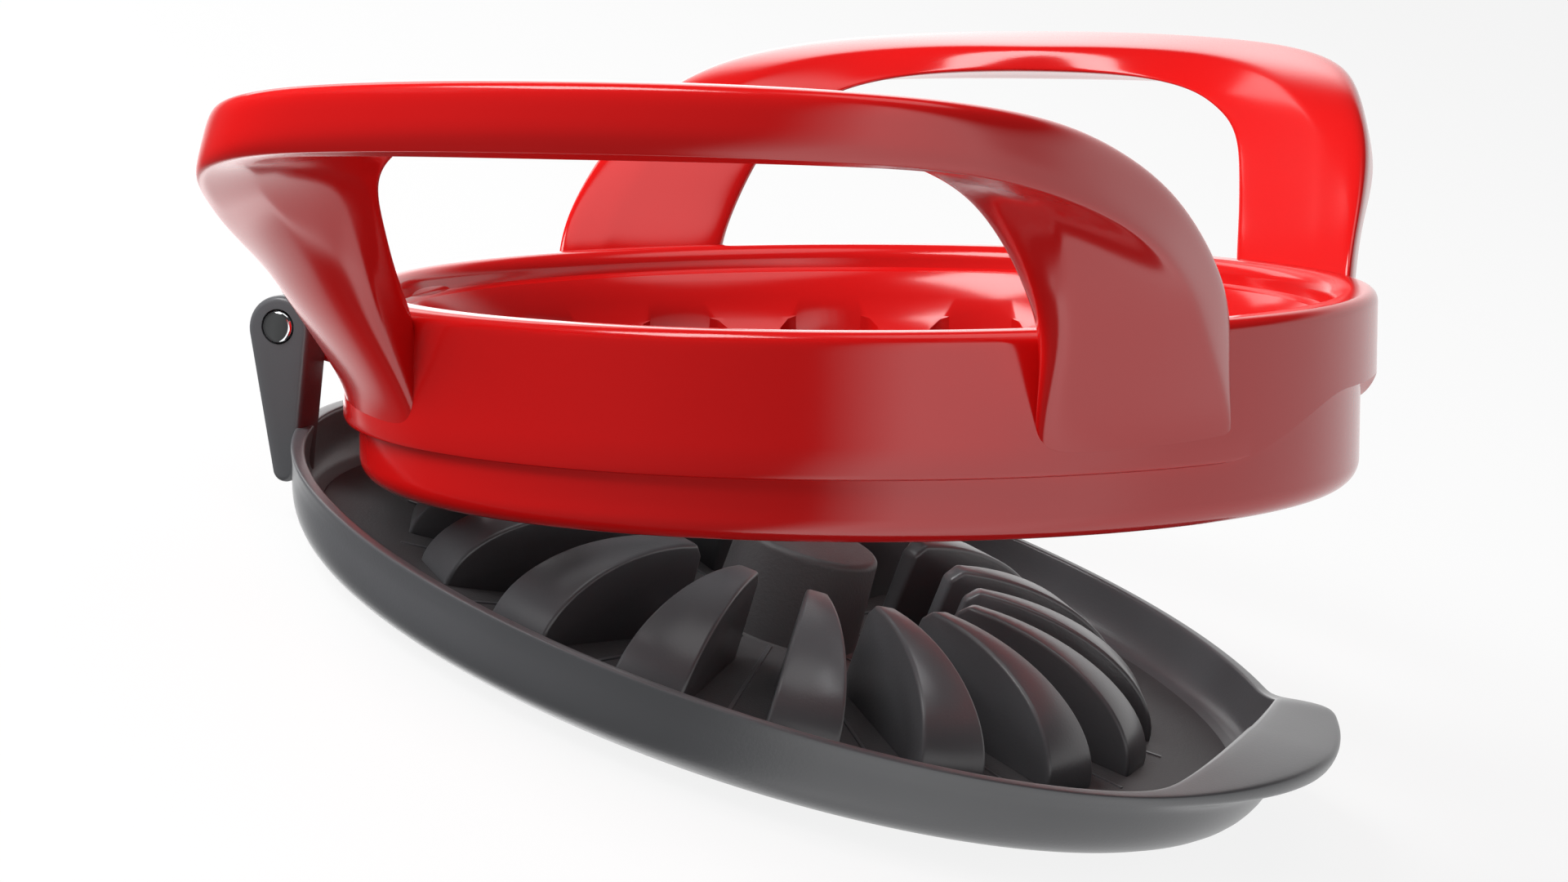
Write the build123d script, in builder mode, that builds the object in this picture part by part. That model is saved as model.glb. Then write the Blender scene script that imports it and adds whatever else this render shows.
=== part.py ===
"""Apple slicer and corer with a hinged pusher base.

Millimetres, +Z up. The origin is the centre of the base's underside, +X runs from the hinge
to the thumb tab. The base lies flat; the cutter is drawn closed, then turned up about the
hinge pin to the part-open pose that counts as zero travel.
"""
import os
from math import cos, radians, sqrt, tan

from build123d import *

os.makedirs("parts", exist_ok=True)

# base
tray_bottom = 0.4
tray_height = 12.0
tray_rim = tray_bottom + tray_height
tray_outer = 67.0
tray_inner = 65.2
tray_foot = 60.6
wall_taper = 1.8
floor_top = tray_rim - 7.4
plate_thick = 1.6
plate_radius = 62.0
pad_radius = 50.0
pad_thick = 1.0
tab_tip = 73.0
tab_half = 33.0
lip = 0.5
foot_rise = 4.6
floor_corner = 1.6
fit_gap = 0.1
cut_through = 40

# pusher fingers and core plug
segments = 16
pitch = 360 / segments
finger_inner = 20.6
finger_shoulder = 27.0
finger_outer = 50.3
finger_height = 12.4
finger_inner_half = 1.2
finger_outer_half = 4.7
finger_edge = 0.9
plug_radius = 9.9
plug_height = 12.6
groove_width = 1.2
groove_depth = 0.6
groove_outer = 54.0
blank_half = 8.0
finger_lean = 0.8

# cutter, drawn closed over the base
cutter_top = tray_rim + 17.3
cutter_offset = 1.2
ring_outer = 65.0
carrier_outer = 63.3
skirt_height = 16.9
skirt_bottom = cutter_top - skirt_height
carrier_bottom = cutter_top - 24.1
bore_radius = 50.5
arch_tip = 56.0
web_half = 3.7
blade_thick = 0.5
blade_slot = 0.6
blade_top = cutter_top - 15.0
blade_edge = floor_top + 0.3
blade_end = 57.4
blade_bevel = 2.2
blade_edge_half = 0.04
core_outer = 12.6
core_wall = 0.6
core_bevel = 1.6
core_bevel_depth = 0.35
tongue_height = 7.7
tongue_inner = 61.9
tongue_half = 40.0
notch_half = 36.5
notch_flat = 11.0
notch_rise = 6.6
rim_inner = 59.3
carrier_round = 3.0
core_top = cutter_top - 12.6

# handles
leg_outer_half = 56.6
leg_foot = -18.0
handle_reach = 105.6
handle_top = 29.2
handle_edge = 1.2
rim_round = 1.2
# opening under a bar, level by level: height, then half width and distance from the middle
# where it meets the handle's inner face, then the same for the outer face
opening_levels = (
    (-18.0, 37.6, 50.0, 38.4, 53.0),
    (-13.0, 37.6, 50.5, 38.6, 54.8),
    (-8.0, 37.6, 51.5, 39.6, 57.5),
    (-3.0, 37.6, 53.0, 40.8, 60.0),
    (2.0, 37.2, 57.0, 41.9, 63.6),
    (7.0, 36.7, 61.8, 42.8, 67.6),
    (12.0, 35.8, 66.8, 42.4, 72.0),
    (16.5, 33.6, 72.3, 39.8, 77.6),
    (20.0, 29.6, 77.5, 35.0, 83.0),
    (22.3, 21.0, 82.5, 26.5, 90.0),
)

# hinge
hinge_reach = 71.6
pin_x = cutter_offset - hinge_reach
pin_z = cutter_top - 6.0
pin_radius = 2.1
pin_clearance = 0.1
ear_radius = 4.3
ear_inner = 16.0
ear_outer = 22.4
ear_edge = 0.7
ear_foot_radius = 1.6
ear_root_x = -tray_foot - 0.9
ear_root_z = tray_bottom + 4.4
ear_shoulder_x = -tray_foot - 4.6
ear_shoulder_z = tray_rim + 3.0
lug_half = 15.5
lug_root_radius = 1.5
pin_half_length = 22.9
pin_edge = 0.4
open_angle = 18.1

# screws
screw_radius = 1.1
screw_head_radius = 2.2
screw_head = 1.1
screw_grip = 6.0
screw_sink = 0.2
carrier_screw_circle = 59.4
carrier_screw_count = 8
plate_screw_circle = 38.0
plate_screw_count = 4

hinge_axis = Axis((pin_x, 0, pin_z), (0, 1, 0))


def write_base(piece, name):
    """Label and write a piece that stays with the base."""
    piece.label = name
    export_step(piece, f"parts/{name}.step")


def write_cutter(piece, name):
    """Turn a piece of the cutter up to its part-open pose, label it and write it."""
    opened = piece.moved(Location((cutter_offset, 0, 0))).rotate(hinge_axis, -open_angle)
    opened.label = name
    export_step(opened, f"parts/{name}.step")


def closed_level(height):
    """Height in the part's frame of a level counted from the closed cutter's top rim."""
    return cutter_top + height


def tongue_outline(inner, outer, half):
    """The strip of the carrier's wall that shows through the skirt's notch, in plan."""
    with BuildSketch() as strip:
        with BuildLine():
            outer_x = sqrt(outer**2 - half**2)
            inner_x = sqrt(inner**2 - half**2)
            ThreePointArc((outer_x, -half), (outer, 0), (outer_x, half))
            Line((outer_x, half), (inner_x, half))
            ThreePointArc((inner_x, half), (inner, 0), (inner_x, -half))
            Line((inner_x, -half), (outer_x, -half))
        make_face()
    return strip.sketch


# ---- plans shared by the cutter's rings --------------------------------------------------
# one arch-ended opening lies between two blades and stays web_half clear of both
slot_slope = tan(radians(pitch / 2))
slot_margin = web_half / cos(radians(pitch / 2))
slot_near = bore_radius - 6
slot_far = arch_tip - 2
with BuildSketch() as arch_slot:
    with BuildLine():
        near_half = slot_near * slot_slope - slot_margin
        far_half = slot_far * slot_slope - slot_margin
        Polyline(
            (slot_far, far_half), (slot_near, near_half), (slot_near, -near_half), (slot_far, -far_half)
        )
        ThreePointArc((slot_far, -far_half), (arch_tip, 0), (slot_far, far_half))
    make_face()

with BuildSketch() as arch_slots:
    with PolarLocations(0, segments):
        add(arch_slot.sketch)

# slots that hold the blades' outer ends
blade_slot_end = blade_end + 2 * fit_gap
blade_slot_length = blade_slot_end - bore_radius + 2
with BuildSketch() as blade_slots:
    with PolarLocations(blade_slot_end - blade_slot_length / 2, segments, pitch / 2):
        Rectangle(blade_slot_length, blade_slot)

# ---- tray: wall, floor, thumb tab and the two hinge ears --------------------------------
with BuildPart() as tab:
    with BuildSketch(Plane.XZ.offset(-tab_half)):
        with BuildLine():
            Polyline(
                (53.0, tray_rim - 1.6),
                (57.5, tray_rim - 0.1),
                (66.0, tray_rim + 2.1),
                (tab_tip, tray_rim + 3.2),
                (tab_tip, tray_rim + 0.2),
                (67.0, tray_rim - 2.0),
                (60.0, tray_rim - 5.0),
                (53.0, tray_rim - 5.0),
                close=True,
            )
        make_face()
    extrude(amount=2 * tab_half)
    with BuildSketch(Plane.XY):
        with BuildLine():
            Spline(
                (56.5, -tab_half),
                (65.0, -26.0),
                (70.6, -18.0),
                (tab_tip - 0.2, 0),
                (70.6, 18.0),
                (65.0, 26.0),
                (56.5, tab_half),
            )
            Line((56.5, tab_half), (56.5, -tab_half))
        make_face()
    extrude(amount=2 * tray_rim, mode=Mode.INTERSECT)
    with BuildSketch(Plane.XY):
        Circle(tray_inner)
    extrude(amount=2 * tray_rim, mode=Mode.SUBTRACT)

with BuildPart() as base_tray:
    # hinge ears
    for ear_face in (-ear_outer, ear_inner):
        with BuildSketch(Plane.XZ.offset(ear_face)):
            with Locations((pin_x, pin_z)):
                Circle(ear_radius)
            with Locations((ear_root_x, ear_root_z)):
                Circle(ear_foot_radius)
            with Locations((ear_shoulder_x, ear_shoulder_z)):
                Circle(ear_foot_radius)
            make_hull()
        extrude(amount=ear_outer - ear_inner)
    fillet(base_tray.faces().filter_by(Axis.Y).edges(), ear_edge)
    with BuildSketch(Plane.XY.offset(tray_rim)):
        Circle(tray_outer)
    extrude(amount=cut_through, mode=Mode.SUBTRACT)
    with BuildSketch(Plane.XY.offset(pad_thick)):
        Circle(tray_inner)
    extrude(amount=cut_through, mode=Mode.SUBTRACT)
    # turned shell
    with BuildSketch(Plane.XZ):
        with BuildLine():
            Line((0, tray_bottom), (tray_foot, tray_bottom))
            TangentArc(
                (tray_foot, tray_bottom),
                (tray_outer - wall_taper, tray_bottom + foot_rise),
                tangent=(1, 0),
            )
            Polyline(
                (tray_outer - wall_taper, tray_bottom + foot_rise),
                (tray_outer, tray_rim - lip),
                (tray_outer - lip, tray_rim),
                (tray_inner + lip, tray_rim),
                (tray_inner, tray_rim - lip),
                (tray_inner - lip, floor_top + floor_corner),
                (tray_inner - lip - floor_corner, floor_top),
                (plate_radius + fit_gap, floor_top),
                (plate_radius + fit_gap, floor_top - plate_thick),
                (0, floor_top - plate_thick),
                (0, tray_bottom),
            )
        make_face()
    revolve(axis=Axis.Z)
    add(tab.part)
    # recess for the non-slip pad, screw holes and pin bore
    with BuildSketch(Plane.XY.offset(tray_bottom)):
        Circle(pad_radius + fit_gap)
    extrude(amount=pad_thick - tray_bottom, mode=Mode.SUBTRACT)
    with BuildSketch(Plane.XY.offset(pad_thick)):
        with PolarLocations(plate_screw_circle, plate_screw_count, 45):
            Circle(screw_head_radius + fit_gap)
    extrude(amount=screw_head, mode=Mode.SUBTRACT)
    with BuildSketch(Plane.XY.offset(pad_thick)):
        with PolarLocations(plate_screw_circle, plate_screw_count, 45):
            Circle(screw_radius + fit_gap)
    extrude(amount=floor_top, mode=Mode.SUBTRACT)
    with BuildSketch(Plane.XZ.offset(-ear_outer)):
        with Locations((pin_x, pin_z)):
            Circle(pin_radius)
    extrude(amount=2 * ear_outer, mode=Mode.SUBTRACT)
write_base(base_tray.part, "base_tray")

# ---- pusher plate: disc, sixteen domed fingers and the core plug ------------------------
with BuildPart() as finger:
    with BuildSketch(Plane.XZ.offset(-blank_half)):
        with BuildLine():
            Polyline(
                (finger_outer, floor_top),
                (finger_outer, floor_top - groove_depth),
                (finger_inner, floor_top - groove_depth),
                (finger_inner + finger_lean, floor_top + finger_height),
                (finger_shoulder, floor_top + finger_height),
            )
            EllipticalCenterArc(
                (finger_shoulder, floor_top),
                finger_outer - finger_shoulder,
                finger_height,
                start_angle=0,
                arc_size=90,
            )
        make_face()
    extrude(amount=2 * blank_half)
    with BuildSketch(Plane.XY):
        Polygon(
            (finger_inner - 2, finger_inner_half),
            (finger_outer + 2, finger_outer_half),
            (finger_outer + 2, -finger_outer_half),
            (finger_inner - 2, -finger_inner_half),
            align=None,
        )
    extrude(amount=cutter_top, mode=Mode.INTERSECT)
    fillet(finger.edges().filter_by_position(Axis.Z, floor_top + 1, cutter_top), finger_edge)

with BuildPart() as pusher_plate:
    with BuildSketch(Plane.XY.offset(floor_top - plate_thick)):
        Circle(plate_radius)
    extrude(amount=plate_thick)
    with BuildSketch(Plane.XY.offset(floor_top - groove_depth)):
        with PolarLocations((plug_radius + groove_outer + 3) / 2, segments, pitch / 2):
            SlotOverall(groove_outer - plug_radius, groove_width)
    extrude(amount=groove_depth, mode=Mode.SUBTRACT)
    with BuildSketch(Plane.XY.offset(floor_top)):
        Circle(plug_radius)
    extrude(amount=plug_height)
    fillet(pusher_plate.faces().sort_by(Axis.Z)[-1].edges(), finger_edge)
    with PolarLocations(0, segments):
        add(finger.part)
    with BuildSketch(Plane.XY.offset(floor_top - plate_thick)):
        with PolarLocations(plate_screw_circle, plate_screw_count, 45):
            Circle(screw_radius)
    extrude(amount=plate_thick + screw_grip, mode=Mode.SUBTRACT)
write_base(pusher_plate.part, "pusher_plate")

with BuildPart() as plate_screws:
    with BuildSketch(Plane.XY.offset(pad_thick)):
        with PolarLocations(plate_screw_circle, plate_screw_count, 45):
            Circle(screw_head_radius)
    extrude(amount=screw_head)
    with BuildSketch(Plane.XY.offset(pad_thick + screw_head)):
        with PolarLocations(plate_screw_circle, plate_screw_count, 45):
            Circle(screw_radius)
    extrude(amount=floor_top + screw_grip - pad_thick - screw_head)
write_base(plate_screws.part, "plate_screws")

with BuildPart() as base_pad:
    with BuildSketch(Plane.XY):
        Circle(pad_radius)
    extrude(amount=pad_thick)
write_base(base_pad.part, "base_pad")

with BuildPart() as hinge_pin:
    with BuildSketch(Plane.XZ.offset(-pin_half_length)):
        with Locations((pin_x, pin_z)):
            Circle(pin_radius)
    extrude(amount=2 * pin_half_length)
    fillet(hinge_pin.edges().filter_by(GeomType.CIRCLE), pin_edge)
write_base(hinge_pin.part, "hinge_pin")

# ---- cutter frame: skirt, funnel, two flared handles and the hinge lug ------------------
with BuildPart() as cutter_frame:
    # flared sheet that both handles are cut from
    with BuildSketch(Plane.XZ):
        with BuildLine():
            Spline(
                (ring_outer, closed_level(-16.5)),
                (66.6, closed_level(-12.6)),
                (69.6, closed_level(-6.5)),
                (75.8, closed_level(2.2)),
                (83.2, closed_level(10.2)),
                (90.0, closed_level(16.6)),
                (97.2, closed_level(20.9)),
                (103.8, closed_level(22.9)),
                tangents=((0.02, 1), (1, 0.12)),
            )
            ThreePointArc(
                (103.8, closed_level(22.9)),
                (105.2, closed_level(23.6)),
                (handle_reach, closed_level(25.0)),
            )
            Line((handle_reach, closed_level(25.0)), (handle_reach, closed_level(27.2)))
            ThreePointArc(
                (handle_reach, closed_level(27.2)),
                (105.0, closed_level(28.6)),
                (103.4, closed_level(handle_top)),
            )
            Spline(
                (103.4, closed_level(handle_top)),
                (88.6, closed_level(25.2)),
                (80.8, closed_level(17.6)),
                (70.6, closed_level(5.4)),
                (64.6, closed_level(-0.6)),
                tangents=((-1, -0.12), (-0.7, -0.75)),
            )
            Polyline(
                (64.6, closed_level(-0.6)),
                (62.0, closed_level(-0.6)),
                (62.0, closed_level(-16.5)),
                (ring_outer, closed_level(-16.5)),
            )
        make_face()
    revolve(axis=Axis.Z)
    # outline seen from the side: straight legs, rounded shoulders, slightly crowned top
    with BuildSketch(Plane.XZ.offset(-120)):
        with BuildLine():
            Polyline(
                (leg_outer_half, closed_level(8.0)),
                (leg_outer_half, closed_level(leg_foot)),
                (-leg_outer_half, closed_level(leg_foot)),
                (-leg_outer_half, closed_level(8.0)),
            )
            ThreePointArc(
                (-leg_outer_half, closed_level(8.0)),
                (-50.6, closed_level(22.0)),
                (-36.8, closed_level(28.2)),
            )
            ThreePointArc(
                (-36.8, closed_level(28.2)), (0, closed_level(29.8)), (36.8, closed_level(28.2))
            )
            ThreePointArc(
                (36.8, closed_level(28.2)),
                (50.6, closed_level(22.0)),
                (leg_outer_half, closed_level(8.0)),
            )
        make_face()
    extrude(amount=240, mode=Mode.INTERSECT)
    # outline seen from above: the shoulders curve into the bars
    with BuildSketch(Plane.XY.offset(closed_level(leg_foot))):
        with BuildLine():
            Spline(
                (leg_outer_half, 50.0),
                (55.4, 69.8),
                (48.5, 85.3),
                (43.7, 92.0),
                (36.6, 98.4),
                (27.6, 102.2),
                tangents=((0, 1), (-1, 0.27)),
            )
            ThreePointArc((27.6, 102.2), (0, 106.0), (-27.6, 102.2))
            Spline(
                (-27.6, 102.2),
                (-36.6, 98.4),
                (-43.7, 92.0),
                (-48.5, 85.3),
                (-55.4, 69.8),
                (-leg_outer_half, 50.0),
                tangents=((-1, -0.27), (0, -1)),
            )
            Line((-leg_outer_half, 50.0), (-leg_outer_half, 0))
            Line((-leg_outer_half, 0), (leg_outer_half, 0))
            Line((leg_outer_half, 0), (leg_outer_half, 50.0))
        make_face()
        mirror(about=Plane.XZ)
    extrude(amount=60, mode=Mode.INTERSECT)
    fillet(cutter_frame.edges().filter_by_position(Axis.Z, cutter_top + 1, 2 * cutter_top), handle_edge)
    # openings under the two bars, flaring outward
    for side in (1, -1):
        for height, inner_half, inner_y, outer_half, outer_y in opening_levels:
            with BuildSketch(Plane.XY.offset(closed_level(height))):
                Polygon(
                    (-inner_half, side * 40),
                    (inner_half, side * 40),
                    (inner_half, side * inner_y),
                    (outer_half, side * outer_y),
                    (outer_half + 12, side * 125),
                    (-outer_half - 12, side * 125),
                    (-outer_half, side * outer_y),
                    (-inner_half, side * inner_y),
                    align=None,
                )
        loft(mode=Mode.SUBTRACT)
    # skirt, lifted over the thumb tab
    with BuildSketch(Plane.XZ):
        with BuildLine():
            Polyline(
                (carrier_outer, cutter_top),
                (carrier_outer, skirt_bottom),
                (ring_outer, skirt_bottom),
                (ring_outer, cutter_top - rim_round),
            )
            TangentArc(
                (ring_outer, cutter_top - rim_round), (ring_outer - rim_round, cutter_top), tangent=(0, 1)
            )
            Line((ring_outer - rim_round, cutter_top), (carrier_outer, cutter_top))
        make_face()
    revolve(axis=Axis.Z)
    with BuildSketch(Plane.YZ):
        with BuildLine():
            Line((-notch_half, skirt_bottom - 1), (notch_half, skirt_bottom - 1))
            Line((notch_half, skirt_bottom - 1), (notch_half, skirt_bottom))
            Spline(
                (notch_half, skirt_bottom),
                (notch_flat, skirt_bottom + notch_rise),
                tangents=((-1, 0.02), (-1, 0.02)),
            )
            Line(
                (notch_flat, skirt_bottom + notch_rise),
                (-notch_flat, skirt_bottom + notch_rise),
            )
            Spline(
                (-notch_flat, skirt_bottom + notch_rise),
                (-notch_half, skirt_bottom),
                tangents=((-1, -0.02), (-1, -0.02)),
            )
            Line((-notch_half, skirt_bottom), (-notch_half, skirt_bottom - 1))
        make_face()
    extrude(amount=ring_outer + 10, mode=Mode.SUBTRACT)
    # funnel inside the skirt
    with BuildSketch(Plane.XZ):
        with BuildLine():
            Polyline(
                (bore_radius, closed_level(-14.6)),
                (bore_radius, skirt_bottom),
                (carrier_outer, skirt_bottom),
                (carrier_outer, cutter_top),
                (rim_inner + 1.0, cutter_top),
            )
            ThreePointArc(
                (rim_inner + 1.0, cutter_top),
                (rim_inner + 0.3, closed_level(-0.3)),
                (rim_inner, closed_level(-1.0)),
            )
            Polyline(
                (rim_inner, closed_level(-1.0)),
                (rim_inner - 0.2, closed_level(-2.6)),
                (rim_inner - 0.8, closed_level(-2.9)),
            )
            ThreePointArc(
                (rim_inner - 0.8, closed_level(-2.9)),
                (56.0, closed_level(-9.6)),
                (bore_radius, closed_level(-14.6)),
            )
        make_face()
    revolve(axis=Axis.Z)
    # hinge lug between the ears
    with BuildSketch(Plane.XZ.offset(-lug_half)):
        with Locations((-hinge_reach, pin_z)):
            Circle(ear_radius)
        with Locations((lug_root_radius - carrier_outer, closed_level(-11.0))):
            Circle(lug_root_radius)
        with Locations((2.0 - carrier_outer, closed_level(-3.6))):
            Circle(lug_root_radius)
        make_hull()
    extrude(amount=2 * lug_half)
    with BuildSketch(Plane.XZ.offset(-lug_half)):
        with Locations((-hinge_reach, pin_z)):
            Circle(pin_radius + pin_clearance)
    extrude(amount=2 * lug_half, mode=Mode.SUBTRACT)
    # openings for the segments, pocket for the carrier's tongue, blade slots, screw holes
    with BuildSketch(Plane.XY.offset(skirt_bottom)):
        add(arch_slots.sketch)
    extrude(amount=skirt_height - 2, mode=Mode.SUBTRACT)
    with BuildSketch(Plane.XY.offset(skirt_bottom)):
        add(tongue_outline(tongue_inner - fit_gap, carrier_outer, tongue_half + 2 * fit_gap))
    extrude(amount=tongue_height + fit_gap, mode=Mode.SUBTRACT)
    with BuildSketch(Plane.XY.offset(skirt_bottom)):
        add(blade_slots.sketch)
    extrude(amount=blade_top - skirt_bottom, mode=Mode.SUBTRACT)
    with BuildSketch(Plane.XY.offset(skirt_bottom)):
        with PolarLocations(carrier_screw_circle, carrier_screw_count):
            Circle(screw_radius)
    extrude(amount=screw_grip, mode=Mode.SUBTRACT)
write_cutter(cutter_frame.part, "cutter_frame")

# ---- blade carrier: lower ring that clamps the blades against the frame ------------------
with BuildPart() as blade_carrier:
    with BuildSketch(Plane.XY.offset(carrier_bottom)):
        Circle(carrier_outer)
        Circle(bore_radius, mode=Mode.SUBTRACT)
    extrude(amount=skirt_bottom - carrier_bottom)
    fillet(blade_carrier.edges().sort_by(Axis.Z)[:2].sort_by(SortBy.LENGTH)[-1], carrier_round)
    with BuildSketch(Plane.XY.offset(skirt_bottom)):
        add(tongue_outline(tongue_inner, carrier_outer, tongue_half))
    extrude(amount=tongue_height)
    with BuildSketch(Plane.XY.offset(carrier_bottom)):
        add(arch_slots.sketch)
        add(blade_slots.sketch)
        with PolarLocations(carrier_screw_circle, carrier_screw_count):
            Circle(screw_radius + fit_gap)
    extrude(amount=skirt_bottom - carrier_bottom, mode=Mode.SUBTRACT)
    with BuildSketch(Plane.XY.offset(carrier_bottom)):
        with PolarLocations(carrier_screw_circle, carrier_screw_count):
            Circle(screw_head_radius + fit_gap)
    extrude(amount=screw_head + screw_sink, mode=Mode.SUBTRACT)
write_cutter(blade_carrier.part, "blade_carrier")

with BuildPart() as carrier_screws:
    with BuildSketch(Plane.XY.offset(carrier_bottom + screw_sink)):
        with PolarLocations(carrier_screw_circle, carrier_screw_count):
            Circle(screw_head_radius)
    extrude(amount=screw_head)
    with BuildSketch(Plane.XY.offset(carrier_bottom + screw_sink + screw_head)):
        with PolarLocations(carrier_screw_circle, carrier_screw_count):
            Circle(screw_radius)
    extrude(amount=skirt_bottom + screw_grip - carrier_bottom - screw_sink - screw_head)
write_cutter(carrier_screws.part, "carrier_screws")

# ---- core ring and sixteen blades --------------------------------------------------------
with BuildPart() as core_ring:
    with BuildSketch(Plane.XY.offset(blade_edge)):
        Circle(core_outer)
        Circle(core_outer - core_wall, mode=Mode.SUBTRACT)
    extrude(amount=core_top - blade_edge)
    lower_edges = core_ring.edges().sort_by(Axis.Z)[:2]
    chamfer(lower_edges.sort_by(SortBy.LENGTH)[0], core_bevel, core_bevel_depth)
write_cutter(core_ring.part, "core_ring")

for index in range(segments):
    turn = (index + 0.5) * pitch
    radial = Plane.XY.rotated((0, 0, turn))
    start = Plane(radial.x_dir * core_outer, x_dir=radial.y_dir, z_dir=radial.x_dir)
    with BuildPart() as blade:
        with BuildSketch(start):
            Polygon(
                (-blade_thick / 2, blade_top),
                (blade_thick / 2, blade_top),
                (blade_thick / 2, blade_edge + blade_bevel),
                (blade_edge_half, blade_edge),
                (-blade_edge_half, blade_edge),
                (-blade_thick / 2, blade_edge + blade_bevel),
                align=None,
            )
        extrude(amount=blade_end - core_outer)
    write_cutter(blade.part, f"blade_{index + 1:02d}")
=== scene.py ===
import bpy
import bmesh
from math import cos, hypot, pi, radians, sin, sqrt, tan
from mathutils import Matrix, Vector


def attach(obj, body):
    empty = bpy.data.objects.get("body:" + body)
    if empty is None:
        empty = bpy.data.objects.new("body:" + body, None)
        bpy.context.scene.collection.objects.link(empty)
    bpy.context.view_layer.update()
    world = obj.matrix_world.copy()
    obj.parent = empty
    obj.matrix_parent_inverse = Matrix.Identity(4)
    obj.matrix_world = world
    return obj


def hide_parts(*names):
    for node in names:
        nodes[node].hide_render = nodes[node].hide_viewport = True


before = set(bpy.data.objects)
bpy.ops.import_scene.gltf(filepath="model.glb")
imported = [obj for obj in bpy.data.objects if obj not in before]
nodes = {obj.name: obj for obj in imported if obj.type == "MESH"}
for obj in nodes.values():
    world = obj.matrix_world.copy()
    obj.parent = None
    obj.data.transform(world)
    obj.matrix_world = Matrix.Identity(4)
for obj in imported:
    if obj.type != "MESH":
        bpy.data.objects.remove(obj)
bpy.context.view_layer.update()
print("frame loaded:", len(nodes), "nodes")

# Pieces are drawn in millimetres. The cutter's are drawn closed, with the top of its rim at
# height zero and its centre at the origin, then turned up about the hinge pin.
mm = 0.001
segments = 16
hinge = {"pin": (-70.4, 0.0, 23.7), "openDegrees": 18.1, "rimHeight": 29.7, "centre": 1.2}
pinPoint = Vector(hinge["pin"]) * mm
turnUp = Matrix.Rotation(radians(-hinge["openDegrees"]), 4, "Y")
openTurn = Matrix.Translation(pinPoint) @ turnUp @ Matrix.Translation(-pinPoint)
inMetres = Matrix.Scale(mm, 4)
cutterPlace = openTurn @ inMetres @ Matrix.Translation((hinge["centre"], 0, hinge["rimHeight"]))
basePlace = inMetres


def newGroup(name, inputs, outputs):
    group = bpy.data.node_groups.new(name, "ShaderNodeTree")
    for label, kind, value in inputs:
        socket = group.interface.new_socket(label, in_out="INPUT", socket_type=kind)
        socket.default_value = value
    for label, kind in outputs:
        group.interface.new_socket(label, in_out="OUTPUT", socket_type=kind)
    return group, group.nodes.new("NodeGroupInput"), group.nodes.new("NodeGroupOutput")


def addNode(tree, kind, **settings):
    node = tree.nodes.new(kind)
    for key, value in settings.items():
        if key in node.inputs:
            node.inputs[key].default_value = value
        else:
            setattr(node, key, value)
    return node


# Fine moulded grain: a normal and a small lift in roughness
grainGroup, gIn, gOut = newGroup(
    "mouldedGrain",
    [
        ("Scale", "NodeSocketFloat", 900.0),
        ("Depth", "NodeSocketFloat", 0.2),
        ("Base Roughness", "NodeSocketFloat", 0.4),
        ("Roughness Spread", "NodeSocketFloat", 0.08),
    ],
    [("Roughness", "NodeSocketFloat"), ("Normal", "NodeSocketVector")],
)
coords = addNode(grainGroup, "ShaderNodeTexCoord")
grain = addNode(grainGroup, "ShaderNodeTexNoise", Detail=4.0, Roughness=0.6)
cloud = addNode(grainGroup, "ShaderNodeTexNoise", Scale=35.0, Detail=3.0)
spread = addNode(grainGroup, "ShaderNodeMath", operation="MULTIPLY_ADD")
offset = addNode(grainGroup, "ShaderNodeMath", operation="MULTIPLY_ADD")
bump = addNode(grainGroup, "ShaderNodeBump", Distance=0.0002)
offset.inputs[1].default_value = -0.5
link = grainGroup.links.new
link(coords.outputs["Object"], grain.inputs["Vector"])
link(coords.outputs["Object"], cloud.inputs["Vector"])
link(gIn.outputs["Scale"], grain.inputs["Scale"])
link(gIn.outputs["Depth"], bump.inputs["Strength"])
link(grain.outputs["Fac"], bump.inputs["Height"])
link(gIn.outputs["Roughness Spread"], offset.inputs[0])
link(gIn.outputs["Base Roughness"], offset.inputs[2])
link(cloud.outputs["Fac"], spread.inputs[0])
link(gIn.outputs["Roughness Spread"], spread.inputs[1])
link(offset.outputs[0], spread.inputs[2])
link(spread.outputs[0], gOut.inputs["Roughness"])
link(bump.outputs["Normal"], gOut.inputs["Normal"])

# Soft colour drift, as on dyed plastic or handled metal
driftGroup, dIn, dOut = newGroup(
    "colourDrift",
    [
        ("Colour", "NodeSocketColor", (0.5, 0.5, 0.5, 1)),
        ("Dark Colour", "NodeSocketColor", (0.4, 0.4, 0.4, 1)),
        ("Scale", "NodeSocketFloat", 30.0),
    ],
    [("Colour", "NodeSocketColor")],
)
coords = addNode(driftGroup, "ShaderNodeTexCoord")
cloud = addNode(driftGroup, "ShaderNodeTexNoise", Detail=5.0, Roughness=0.55)
blend = addNode(driftGroup, "ShaderNodeMix", data_type="RGBA")
link = driftGroup.links.new
link(coords.outputs["Object"], cloud.inputs["Vector"])
link(dIn.outputs["Scale"], cloud.inputs["Scale"])
link(cloud.outputs["Fac"], blend.inputs["Factor"])
link(dIn.outputs["Colour"], blend.inputs["A"])
link(dIn.outputs["Dark Colour"], blend.inputs["B"])
link(blend.outputs["Result"], dOut.inputs["Colour"])


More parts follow.
